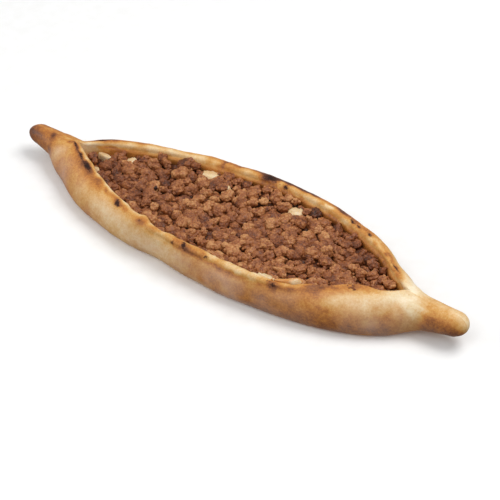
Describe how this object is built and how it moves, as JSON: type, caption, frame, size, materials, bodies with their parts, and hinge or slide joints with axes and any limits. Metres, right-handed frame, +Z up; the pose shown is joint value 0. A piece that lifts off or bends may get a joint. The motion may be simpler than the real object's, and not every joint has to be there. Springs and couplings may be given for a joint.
{
  "type": "turkish pide",
  "caption": "Boat-shaped baked flatbread with folded rims, rolled nub ends, melted cheese and a heap of crumbled minced meat.",
  "frame": {"origin": "middle of the bread on the surface that it lies on", "axes": "+X along the bread to the nub on the right, +Y to the far wall, +Z up"},
  "size_m": [0.4196, 0.1271, 0.0295],
  "materials": {
    "crust": "baked wheat dough, browned and charred in spots",
    "cheese": "melted cheese, wet and smooth",
    "meat": "cooked crumbled mince, slightly greasy"
  },
  "bodies": {
    "root": {"crust": "crust", "cheese": "cheese", "meat_topping": "meat"}
  },
  "joints": []
}
